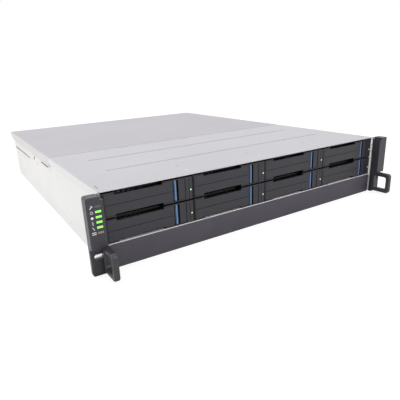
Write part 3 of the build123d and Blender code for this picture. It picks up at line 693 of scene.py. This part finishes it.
def stroke(points: Outline, width: float) -> list[Outline]:
    """A line of some width as one four-cornered outline for each of its runs."""
    outlines = []
    for (x0, z0), (x1, z1) in zip(points, points[1:]):
        run = Vector((x1 - x0, z1 - z0)).normalized()
        side, ahead = Vector((-run.y, run.x)) * width / 2, run * width / 4
        ends = [Vector((x0, z0)) - ahead, Vector((x1, z1)) + ahead]
        outlines.append([tuple(ends[0] + side), tuple(ends[1] + side), tuple(ends[1] - side),
                         tuple(ends[0] - side)])
    return outlines


def polygon(x: float, z: float, radius: float, sides: int, turn: float = 0.0) -> Outline:
    """A regular outline round a centre."""
    angles = [turn + 2 * math.pi * i / sides for i in range(sides)]
    return [(x + radius * math.cos(angle), z + radius * math.sin(angle)) for angle in angles]


def closed(name: str, points: list[Point], faces: list[tuple[int, ...]]) -> bpy.types.Mesh:
    """A mesh from points and faces, with its faces pointing outwards."""
    mesh = bpy.data.meshes.new(name)
    mesh.from_pydata(points, [], faces)
    work = bmesh.new()
    work.from_mesh(mesh)
    bmesh.ops.recalc_face_normals(work, faces=work.faces)
    work.to_mesh(mesh)
    work.free()
    return mesh


def prisms(name: str, ends: list[tuple[list[Point], list[Point]]]) -> bpy.types.Mesh:
    """Closed solids, each spanned between two rings of equally many points."""
    points, faces = [], []
    for first, second in ends:
        start, count = len(points), len(first)
        points += [*first, *second]
        faces.append(tuple(range(start, start + count)))
        faces.append(tuple(range(start + 2 * count - 1, start + count - 1, -1)))
        faces += [(start + i, start + count + i, start + count + (i + 1) % count,
                   start + (i + 1) % count) for i in range(count)]
    return closed(name, points, faces)


def slabs(name: str, outlines: list[Outline], front: float, depth: float) -> bpy.types.Mesh:
    """Flat shapes drawn in X and Z, each given the same depth towards the rear.

    Args:
        name: the mesh's name.
        outlines: the shapes, in metres.
        front: Y of their front.
        depth: how deep they are.

    Returns:
        The mesh.
    """
    return prisms(name, [tuple([(x, y, z) for x, z in outline] for y in (front, front + depth))
                         for outline in outlines])


def rounded(width: float, height: float, radius: float) -> Outline:
    """Outline of a rectangle with round corners, about the origin."""
    outline = []
    for turn, (sx, sz) in enumerate(((1, 1), (-1, 1), (-1, -1), (1, -1))):
        for step in range(CORNER_STEPS + 1):
            angle = math.pi / 2 * (turn + step / CORNER_STEPS)
            outline.append((sx * (width / 2 - radius) + radius * math.cos(angle),
                            sz * (height / 2 - radius) + radius * math.sin(angle)))
    return outline


def collars(name: str, places: list[Point], hole: Span, rim: float,
            proud: float) -> bpy.types.Mesh:
    """Raised collars round equal openings in a rear face, with a chamfered front.

    Args:
        name: the mesh's name.
        places: the middle of each opening, on the face.
        hole: width and height of the opening.
        rim: width of the collar round it.
        proud: how far it stands out.

    Returns:
        The mesh.
    """
    points, faces = [], []
    for x, y, z in places:
        start, count = len(points), 0
        for across, share in COLLAR_PROFILE:
            out = across * rim
            ring = rounded(hole[0] + 2 * out, hole[1] + 2 * out, COLLAR_CORNER + out)
            count = len(ring)
            points += [(x + px, y + share * proud, z + pz) for px, pz in ring]
        for loop in range(len(COLLAR_PROFILE)):
            low, high = start + loop * count, start + (loop + 1) % len(COLLAR_PROFILE) * count
            faces += [(low + i, low + (i + 1) % count, high + (i + 1) % count, high + i)
                      for i in range(count)]
    return closed(name, points, faces)


# Details of each sub-assembly

@dataclass
class CoverDetails:
    """Screw heads of the front cover, dark strips that paint the shade in its hook slits, and the
    screw at each corner by the ear.
    """

    screw_x: tuple[float, ...] = (-106.9 * MM, 4.0 * MM, 114.9 * MM)
    screw_y: float = 19.5 * MM
    screw_sink: float = 0.25 * MM
    head: Heads = Heads(2.6 * MM, 0.35 * MM)
    corner: Point = (223.7 * MM, -2.0 * MM, 86.1 * MM)
    corner_head: Heads = Heads(1.25 * MM, 1.1 * MM)
    corner_seat: Heads = Heads(2.0 * MM, 0.5 * MM, False, 28)
    slit_x: float = 218.8 * MM
    slit: Span = (12.0 * MM, 25.0 * MM)
    slit_width: float = 0.7 * MM
    slit_level: Span = (-0.3 * MM, 0.03 * MM)

    def build(self, shop: Workshop) -> None:
        """Adds the pieces, which ride on the chassis."""
        feet = [Vector((x, FRONT + self.screw_y, TOP - self.screw_sink)) for x in self.screw_x]
        shop.repeat("cover_screw_heads", self.head, feet, Axis.UP, SCREW, "chassis")
        x, y, z = self.corner
        feet = [Vector((side.value * x, FRONT + y, z)) for side in Side]
        shop.repeat("cover_corner_screws", self.corner_head, feet, Axis.FORWARD, SCREW, "chassis")
        shop.repeat("cover_corner_seats", self.corner_seat, feet, Axis.FORWARD, BLACK, "chassis")
        # Dark strips on the cover that paint the shade inside the hook slits.
        (start, end), half = self.slit, self.slit_width / 2
        slits = []
        for side in Side:
            x = side.value * self.slit_x
            plan = ((x - half, start), (x + half, start), (x + half, end), (x - half, end))
            slits.append(tuple([(px, FRONT + py, TOP + level) for px, py in plan]
                               for level in self.slit_level))
        shop.piece("cover_hook_slits", prisms("cover_hook_slits", slits), SLIT_SHADE, "chassis")


@dataclass
class EarMarks:
    """Plain pictograms beside the status lights on the left ear."""

    x: float = -236.6 * MM
    face: float = FRONT - 14.5 * MM
    proud: float = 0.08 * MM
    line: float = 0.75 * MM
    ring: Span = (72.6, 1.35)
    ring_share: float = 0.55
    spot: Span = (67.1, 1.65)
    strokes: tuple[tuple[float, float, tuple[Span, ...]], ...] = (
        (78.2, 1.0, ((-1.2, -1.5), (0.7, 0.7))),
        (78.2, 1.0, ((0.1, 1.4), (1.5, 0.5))),
        (61.5, 0.8, ((-0.5, 1.6), (0.4, 0.5), (-0.3, -0.5), (0.5, -1.6))),
        (56.0, 0.8, ((-0.8, 1.5), (0.1, 0.2), (0.9, -1.6))),
        (51.7, 0.9, ((-1.8, 0.0), (2.2, 0.0))),
        (49.9, 0.9, ((-1.8, 0.0), (2.2, 0.0))))

    def outlines(self) -> list[Outline]:
        """Outlines of the pictograms, whose heights and offsets are in millimetres."""
        shapes = []
        for height, share, places in self.strokes:
            shapes += stroke([(self.x + dx * MM, (height + dz) * MM) for dx, dz in places],
                             share * self.line)
        height, radius = self.ring
        loop = polygon(self.x, height * MM, radius * MM, 8, math.pi / 8)
        shapes += stroke(loop + loop[:1], self.ring_share * self.line)
        height, radius = self.spot
        shapes.append(polygon(self.x, height * MM, radius * MM, 4))
        return shapes

    def build(self, shop: Workshop) -> None:
        """Adds the marks, which ride on the chassis."""
        mesh = slabs("ear_marks", self.outlines(), self.face - self.proud, 2 * self.proud)
        shop.piece("ear_marks", mesh, MARK, "chassis")


@dataclass
class WallDetails:
    """Rivets, bracket screw heads, painted shade behind the slots and the long crease of each
    side wall.
    """

    rivets: tuple[Span, ...] = (
        (136.0, 13.0), (256.1, 13.0), (376.0, 13.0), (494.2, 6.5))
    rivet: Heads = Heads(1.9 * MM, 0.35 * MM, False)
    bracket_y: float = 23.0 * MM
    bracket_z: tuple[float, ...] = (14.0 * MM, 44.0 * MM, 68.0 * MM)
    bracket_x: float = WALL_X + 1.9 * MM
    bracket_head: Heads = Heads(2.6 * MM, 0.7 * MM)
    crease: Point = (78.0 * MM, 198.0 * MM, 34.6 * MM)
    crease_width: float = 0.8 * MM
    crease_rise: float = 0.25 * MM
    crease_sink: float = 0.1 * MM
    slots: tuple[Point, ...] = (
        (256.0, 71.0, 50.0), (459.0, 61.0, 153.0), (337.0, 68.0, 15.0), (314.5, 62.0, 4.0))
    slot_shade_height: float = 9.0 * MM
    slot_shade_corner: float = 2.0 * MM
    slot_shade_over: float = 2.0 * MM
    slot_shade_inset: float = 1.25 * MM
    liner_sheet: float = 0.15 * MM

    def build(self, shop: Workshop) -> None:
        """Adds the pieces of both walls, which ride on the chassis."""
        for side in Side:
            name, axis = side.name.lower(), Axis[side.name]
            feet = [Vector((side.value * WALL_X, FRONT + y * MM, z * MM)) for y, z in self.rivets]
            shop.repeat(f"{name}_wall_rivets", self.rivet, feet, axis, SCREW, "chassis")
            feet = [Vector((side.value * self.bracket_x, FRONT + self.bracket_y, z))
                    for z in self.bracket_z]
            shop.repeat(f"{name}_bracket_screws", self.bracket_head, feet, axis, SCREW, "chassis")
            self.add_crease(shop, side)
            self.add_slot_shades(shop, side)

    def add_slot_shades(self, shop: Workshop, side: Side) -> None:
        """Adds thin dark strips behind the slots on the inside of a wall, which paint the shade
        seen through them.
        """
        inner = side.value * (WALL_X - self.slot_shade_inset)
        strips = []
        for y, z, length in self.slots:
            outline = rounded(length * MM + 2 * self.slot_shade_over, self.slot_shade_height,
                              self.slot_shade_corner)
            strips.append(tuple([(x, FRONT + y * MM + py, z * MM + pz) for py, pz in outline]
                                for x in (inner, inner - side.value * self.liner_sheet)))
        name = f"{side.name.lower()}_slot_liners"
        shop.piece(name, prisms(name, strips), SLIT_SHADE, "chassis")

    def add_crease(self, shop: Workshop, side: Side) -> None:
        """Adds the low three-sided ridge that runs along a wall."""
        start, end, z = self.crease
        foot = side.value * (WALL_X - self.crease_sink)
        crown = side.value * (WALL_X + self.crease_rise)
        ends = tuple([(foot, y, z - self.crease_width), (crown, y, z),
                      (foot, y, z + self.crease_width)] for y in (FRONT + start, FRONT + end))
        name = f"{side.name.lower()}_wall_crease"
        shop.piece(name, prisms(name, [ends]), WALL, "chassis")


@dataclass
class TrayDetails:
    """Lit lens, side screws and drive lid screws of the drive trays."""

    count: int = 8
    led_inset: float = 2.65 * MM
    led_height: float = 11.2 * MM
    led_depth: float = 0.15 * MM
    lens: Heads = Heads(1.05 * MM, 0.5 * MM, False, 16)
    side_screw_y: tuple[float, ...] = (65.9 * MM, 167.5 * MM)
    side_screw_z: float = 6.95 * MM
    side_screw_x: float = 53.25 * MM
    side_screw: Heads = Heads(2.3 * MM, 0.35 * MM)
    lid_screw: Heads = Heads(1.9 * MM, 0.4 * MM)
    lid_inset: Span = (6.5 * MM, 7.0 * MM)
    lid_sink: float = 0.1 * MM

    def build(self, shop: Workshop) -> None:
        """Adds the pieces of each tray, which ride on that tray."""
        for number in range(1, self.count + 1):
            body = f"tray_{number}"
            low, high = (Vector(corner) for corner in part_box(f"drive_tray_{number}"))
            spot = Vector((high.x - self.led_inset, FRONT + self.led_depth,
                           low.z + self.led_height))
            shop.repeat(f"tray_light_{number}", self.lens, [spot], Axis.FORWARD, TRAY_LIGHT, body)
            middle = (low.x + high.x) / 2
            for side in Side:
                feet = [Vector((middle + side.value * self.side_screw_x, FRONT + y,
                                low.z + self.side_screw_z)) for y in self.side_screw_y]
                shop.repeat(f"tray_{side.name.lower()}_screws_{number}", self.side_screw, feet,
                            Axis[side.name], SCREW, body)
            low, high = (Vector(corner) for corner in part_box(f"hard_drive_{number}"))
            across, along = self.lid_inset
            feet = [Vector((x, y, high.z - self.lid_sink))
                    for x in (low.x + across, high.x - across)
                    for y in (low.y + along, (low.y + high.y) / 2, high.y - along)]
            shop.repeat(f"drive_lid_screws_{number}", self.lid_screw, feet, Axis.UP, SCREW, body)


@dataclass
class RearDetails:
    """Screws, collars, port sleeves, contacts, lamps and lever ribs of the rear modules."""

    corner_inset: float = 4.0 * MM
    screw: Heads = Heads(2.0 * MM, 0.8 * MM)
    fan_screw_radius: float = 36.0 * MM
    fan_centre: Span = (36.5 * MM, 36.5 * MM)
    inlet: Span = (19.8 * MM, 27.0 * MM)
    inlet_rim: Span = (2.2 * MM, 1.4 * MM)
    inlet_lamp_z: float = 24.0 * MM
    port_play: float = 0.4 * MM
    port_rim: Span = (1.1 * MM, 0.7 * MM)
    sleeve_sheet: float = 0.3 * MM
    contact_count: int = 8
    contact_pitch: float = 1.2 * MM
    contact: Span = (0.6 * MM, 0.5 * MM)
    contact_share: float = 0.7
    lamp: Heads = Heads(1.2 * MM, 0.7 * MM, False, 16)
    lamp_count: int = 3
    lamp_inset: Span = (30.0 * MM, 9.0 * MM)
    lamp_pitch: float = 5.0 * MM
    rib_count: int = 5
    rib_pitch: float = 2.2 * MM
    rib_inset: Span = (9.0 * MM, 2.0 * MM)
    rib: Span = (1.0 * MM, 0.8 * MM)
    rib_share: float = 0.8

    def build(self, shop: Workshop) -> None:
        """Adds the pieces of each module, which ride on that module."""
        for side in Side:
            self.power_module(shop, side)
        for level in ("lower", "upper"):
            self.controller(shop, level)
        for node in sorted(frame["nodes"]):
            if node.endswith(("_power_lever", "_controller_lever")):
                self.lever_ribs(shop, node)

    def corners(self, body: str) -> list[Vector]:
        """Places for the four corner screws of a module's rear face."""
        low, high = (Vector(corner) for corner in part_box(body))
        inset = self.corner_inset
        return [Vector((x, REAR, z)) for x in (low.x + inset, high.x - inset)
                for z in (low.z + inset, high.z - inset)]

    def power_module(self, shop: Workshop, side: Side) -> None:
        """Adds the screws, inlet collar and lamp of a power module."""
        body = f"{side.name.lower()}_power_module"
        low, high = (Vector(corner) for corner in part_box(body))
        fan = Vector((low.x + self.fan_centre[0], REAR, high.z - self.fan_centre[1]))
        reach = self.fan_screw_radius * math.sqrt(0.5)
        feet = self.corners(body) + [fan + Vector((dx * reach, 0.0, dz * reach))
                                     for dx in (-1, 1) for dz in (-1, 1)]
        shop.repeat(f"{body}_screws", self.screw, feet, Axis.REAR, SCREW, body)
        mount = next(row for row in frame["record"]["mounts"]
                     if row["name"] == f"{side.name.lower()}_mains_inlet")
        name = f"{body}_inlet_collar"
        shop.piece(name, collars(name, [tuple(mount["pos_m"])], self.inlet, *self.inlet_rim),
                   BLACK, body)
        lamp = Vector((mount["pos_m"][0], REAR, low.z + self.inlet_lamp_z))
        shop.repeat(f"{body}_lamp", self.lamp, [lamp], Axis.REAR, TRAY_LIGHT, body)

    def controller(self, shop: Workshop, level: str) -> None:
        """Adds the screws, ports and lamps of a controller."""
        body = f"{level}_controller"
        shop.repeat(f"{body}_screws", self.screw, self.corners(body), Axis.REAR, SCREW, body)
        for kind in ("host_port", "network_port"):
            boxes = [row["box_m"] for row in frame["record"]["physics"]["openings"]
                     if row["name"].startswith(f"{level}_{kind}")]
            self.ports(shop, body, kind, boxes)
        low, high = (Vector(corner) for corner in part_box(body))
        inset, drop = self.lamp_inset
        feet = [Vector((low.x + inset + i * self.lamp_pitch, REAR, high.z - drop))
                for i in range(self.lamp_count)]
        shop.repeat(f"{body}_lamps", self.lamp, feet, Axis.REAR, TRAY_LIGHT, body)

    def ports(self, shop: Workshop, body: str, kind: str, boxes: list[list[Point]]) -> None:
        """Adds collars, sleeves, backs and contacts of a controller's ports of one kind.

        Args:
            shop: what dresses the pieces.
            body: the controller.
            kind: the kind of port, as in the names of its openings.
            boxes: low and high corner of each opening.
        """
        lows = [Vector(box[0]) for box in boxes]
        highs = [Vector(box[1]) for box in boxes]
        places = [((a.x + b.x) / 2, REAR, (a.z + b.z) / 2) for a, b in zip(lows, highs)]
        hole = (highs[0].x - lows[0].x + self.port_play, highs[0].z - lows[0].z + self.port_play)
        name = f"{body}_{kind}_collars"
        shop.piece(name, collars(name, places, hole, *self.port_rim), SCREW, body)
        depth, sheet = REAR - lows[0].y, self.sleeve_sheet
        inner = (hole[0] - 2 * sheet, hole[1] - 2 * sheet)
        backs = [(x, REAR - depth + sheet, z) for x, _, z in places]
        name = f"{body}_{kind}_sleeves"
        shop.piece(name, collars(name, backs, inner, 0.9 * sheet, depth - 3 * sheet), BLACK, body)
        plates = [[(x + px, z + pz) for px, pz in rounded(*inner, COLLAR_CORNER)]
                  for x, _, z in places]
        name = f"{body}_{kind}_backs"
        shop.piece(name, slabs(name, plates, REAR - depth + sheet, 2 * sheet), BLACK, body)
        half = (self.contact_count - 1) / 2
        feet = [Vector((x + (i - half) * self.contact_pitch, REAR - depth / 2,
                        z + inner[1] / 2 - sheet)) for x, _, z in places
                for i in range(self.contact_count)]
        width, height = self.contact
        bars = Bars((width, self.contact_share * depth, height))
        shop.repeat(f"{body}_{kind}_contacts", bars, feet, Axis.UP, CONTACT, body)

    def lever_ribs(self, shop: Workshop, node: str) -> None:
        """Adds grip ribs across the tip of a module lever, whose body has its node's name."""
        low, high = (Vector(corner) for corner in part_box(node))
        outer = high.x if abs(low.x) > abs(high.x) else low.x
        towards = -1 if outer == high.x else 1
        (inset, drop), (width, height) = self.rib_inset, self.rib
        feet = [Vector((outer + towards * (inset + i * self.rib_pitch), high.y - drop,
                        (low.z + high.z) / 2)) for i in range(self.rib_count)]
        bars = Bars((width, self.rib_share * (high.z - low.z), height))
        shop.repeat(f"{node}_ribs", bars, feet, Axis.REAR, MODULE_LEVER, node)


# Stage, lights and camera

@dataclass(frozen=True)
class SoftBox:
    """A square lamp that faces a target."""

    name: str
    place: Point
    target: Point
    size: float
    power: float

    def build(self) -> None:
        """Adds the lamp; its sizes are in metres and its power in watts."""
        light = bpy.data.lights.new(self.name, "AREA")
        light.size = self.size
        light.energy = self.power
        lamp = bpy.data.objects.new(self.name, light)
        bpy.context.scene.collection.objects.link(lamp)
        lamp.location = self.place
        ahead = Vector(self.target) - Vector(self.place)
        lamp.rotation_euler = ahead.to_track_quat("-Z", "Y").to_euler()


@dataclass
class Studio:
    """Pale floor, white world, soft lamps and the photograph's viewpoint."""

    eye: Point = (-336.7 * MM, -641.6 * MM, 202.2 * MM)
    azimuth: float = -32.0
    elevation: float = 18.58
    roll: float = -2.5
    lens: float = 35.25
    world_light: float = 0.62
    floor_half: float = 6.0
    floor_share: float = 0.7
    floor_glow: float = 1.2
    floor_tone: Colour = (0.86, 0.86, 0.86)
    near_clip: float = 0.01
    lamps: tuple[SoftBox, ...] = (
        SoftBox("side_box", (-1.9, 0.1, 0.9), (0.0, 0.0, 0.05), 1.6, 12.0),
        SoftBox("top_box", (-0.2, 0.2, 1.9), (0.0, 0.05, 0.08), 1.8, 12.5),
        SoftBox("front_box", (0.3, -2.0, 0.8), (0.0, -0.26, 0.05), 1.4, 10.0))

    def world(self) -> None:
        """White to the camera and in reflections, softer as a light."""
        world = bpy.data.worlds.new("studio_world")
        bpy.context.scene.world = world
        world.use_nodes = True
        nodes, links = world.node_tree.nodes, world.node_tree.links
        background = nodes["Background"]
        background.inputs["Color"].default_value = WHITE
        path = nodes.new("ShaderNodeLightPath")
        seen = path.outputs["Is Camera Ray"]
        for ray in ("Is Transmission Ray", "Is Glossy Ray"):
            either = nodes.new("ShaderNodeMath")
            either.operation = "MAXIMUM"
            links.new(seen, either.inputs[0])
            links.new(path.outputs[ray], either.inputs[1])
            seen = either.outputs[0]
        strength = nodes.new("ShaderNodeMapRange")
        strength.inputs["To Min"].default_value = self.world_light
        strength.inputs["To Max"].default_value = 1.0
        links.new(seen, strength.inputs["Value"])
        links.new(strength.outputs["Result"], background.inputs["Strength"])

    def floor(self) -> None:
        """White floor that keeps a soft shadow."""
        mesh = bpy.data.meshes.new("floor")
        h = self.floor_half
        mesh.from_pydata([(-h, -h, 0), (h, -h, 0), (h, h, 0), (-h, h, 0)], [], [(0, 1, 2, 3)])
        floor = bpy.data.objects.new("floor", mesh)
        bpy.context.scene.collection.objects.link(floor)
        graph = Graph("floor_white")
        graph.set(Base_Color=(*self.floor_tone, 1.0), Roughness=0.9)
        glow = graph.nodes.new("ShaderNodeEmission")
        glow.inputs["Color"].default_value = WHITE
        glow.inputs["Strength"].default_value = self.floor_glow
        path = graph.nodes.new("ShaderNodeLightPath")
        share = graph.nodes.new("ShaderNodeMath")
        share.operation = "MULTIPLY"
        share.inputs[1].default_value = self.floor_share
        graph.links.new(path.outputs["Is Camera Ray"], share.inputs[0])
        mix = graph.nodes.new("ShaderNodeMixShader")
        graph.links.new(share.outputs[0], mix.inputs[0])
        graph.links.new(graph.shader.outputs[0], mix.inputs[1])
        graph.links.new(glow.outputs[0], mix.inputs[2])
        graph.links.new(mix.outputs[0], graph.nodes["Material Output"].inputs["Surface"])
        mesh.materials.append(graph.material)

    def camera(self) -> None:
        """The photograph's viewpoint, from its azimuth, elevation and roll in degrees."""
        turn, rise, roll = (math.radians(a) for a in (self.azimuth, self.elevation, self.roll))
        ahead = Vector((-math.sin(turn) * math.cos(rise), math.cos(turn) * math.cos(rise),
                        -math.sin(rise)))
        right = ahead.cross(Vector((0, 0, 1))).normalized()
        up = right.cross(ahead)
        right, up = (right * math.cos(roll) + up * math.sin(roll),
                     up * math.cos(roll) - right * math.sin(roll))
        data = bpy.data.cameras.new("viewpoint")
        data.lens = self.lens
        data.clip_start = self.near_clip
        camera = bpy.data.objects.new("viewpoint", data)
        bpy.context.scene.collection.objects.link(camera)
        camera.matrix_world = Matrix.Translation(self.eye) @ Matrix(
            (right, up, -ahead)).transposed().to_4x4()
        bpy.context.scene.camera = camera

    def build(self) -> None:
        """Sets up everything that isn't the object."""
        bpy.context.scene.view_settings.view_transform = "Standard"
        self.world()
        self.floor()
        for lamp in self.lamps:
            lamp.build()
        self.camera()


def main() -> None:
    """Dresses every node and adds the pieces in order."""
    logging.basicConfig(level=logging.INFO, format="%(message)s")
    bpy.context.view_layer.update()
    workshop = Workshop()
    for node in sorted(frame["nodes"]):
        workshop.dress_node(node)
    for details in (CoverDetails(), EarMarks(), WallDetails(), TrayDetails(), RearDetails()):
        LOG.info("building %s", type(details).__name__)
        details.build(workshop)
    Studio().build()


if __name__ == "__main__":
    main()
